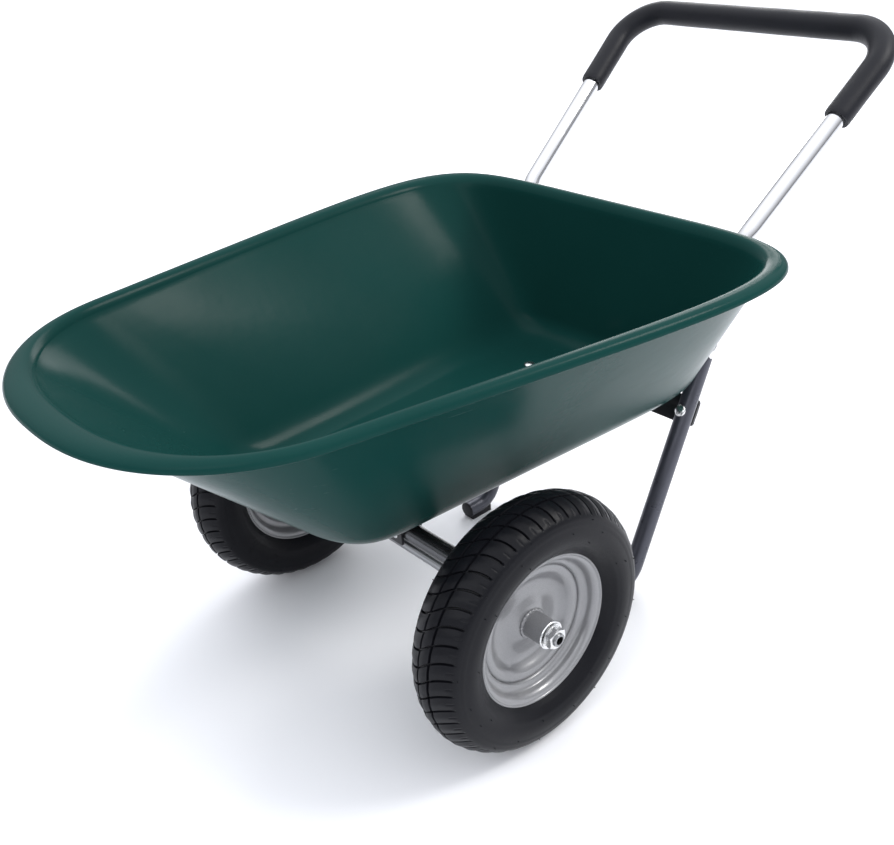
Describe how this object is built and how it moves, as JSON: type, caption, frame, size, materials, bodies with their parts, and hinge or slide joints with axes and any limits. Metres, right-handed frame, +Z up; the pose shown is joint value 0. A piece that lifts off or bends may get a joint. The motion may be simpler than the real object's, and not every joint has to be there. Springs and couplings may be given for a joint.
{
  "type": "garden cart",
  "caption": "Garden cart with a deep moulded tray on a steel tube frame, a U-shaped push handle with foam grip, pneumatic wheels on a fixed axle and bent rear legs.",
  "frame": {"origin": "on the ground, at the middle of the overall length and width", "axes": "+X forward to the nose of the tray, +Y to the left, +Z up; the wheels spin about Y"},
  "size_m": [1.18, 0.6676, 0.7273],
  "materials": {
    "tray_green": "glossy moulded poly, dark teal green",
    "polished_steel": "polished plated tube",
    "grip_foam": "matte dense foam sleeve",
    "frame_paint": "satin gunmetal powder coat",
    "bracket_paint": "satin black powder coat",
    "beam_steel": "gloss grey coated tube",
    "axle_steel": "drawn bright tube",
    "black_plastic": "moulded black",
    "tyre_rubber": "matte black rubber",
    "butyl_rubber": "smooth butyl rubber",
    "rim_paint": "silver grey enamel on pressed steel",
    "zinc_steel": "bright zinc plate"
  },
  "bodies": {
    "frame": {"tray": "tray_green", "handle_tube": "polished_steel", "grip": "grip_foam", "rail_left": "frame_paint", "rail_right": "frame_paint", "rail_plugs": "black_plastic", "leg_left": "frame_paint", "leg_right": "frame_paint", "leg_plugs": "black_plastic", "foot_pads": "black_plastic", "rear_brace": "bracket_paint", "hanger_front": "bracket_paint", "hanger_rear": "bracket_paint", "axle_beam": "beam_steel", "beam_plugs": "black_plastic", "axle_plate_left": "bracket_paint", "axle_plate_right": "bracket_paint", "axle_tube": "axle_steel", "axle_spacers": "axle_steel", "axle_washers": "zinc_steel", "axle_nuts": "zinc_steel", "tray_bolts": "zinc_steel", "tray_washers": "zinc_steel", "tray_nuts": "zinc_steel", "beam_bolts": "zinc_steel", "beam_nuts": "zinc_steel", "handle_bolts": "zinc_steel", "handle_nuts": "zinc_steel", "leg_bolts": "zinc_steel", "leg_nuts": "zinc_steel", "saddle_spacers": "black_plastic", "brace_bolts": "zinc_steel", "brace_nuts": "zinc_steel"},
    "wheel_left": {"tyre_left": "tyre_rubber", "inner_tube_left": "butyl_rubber", "rim_left": "rim_paint", "hub_left": "rim_paint", "outer_bearing_left": "zinc_steel", "inner_bearing_left": "zinc_steel", "valve_left": "butyl_rubber", "valve_cap_left": "black_plastic"},
    "wheel_right": {"tyre_right": "tyre_rubber", "inner_tube_right": "butyl_rubber", "rim_right": "rim_paint", "hub_right": "rim_paint", "outer_bearing_right": "zinc_steel", "inner_bearing_right": "zinc_steel", "valve_right": "butyl_rubber", "valve_cap_right": "black_plastic"}
  },
  "joints": [
    {"name": "left_wheel_spin", "type": "hinge", "parent": "frame", "child": "wheel_left", "pos_m": [0.172, 0.248, 0.165], "axis": [0, 1, 0], "continuous": true},
    {"name": "right_wheel_spin", "type": "hinge", "parent": "frame", "child": "wheel_right", "pos_m": [0.172, -0.248, 0.165], "axis": [0, 1, 0], "continuous": true}
  ]
}
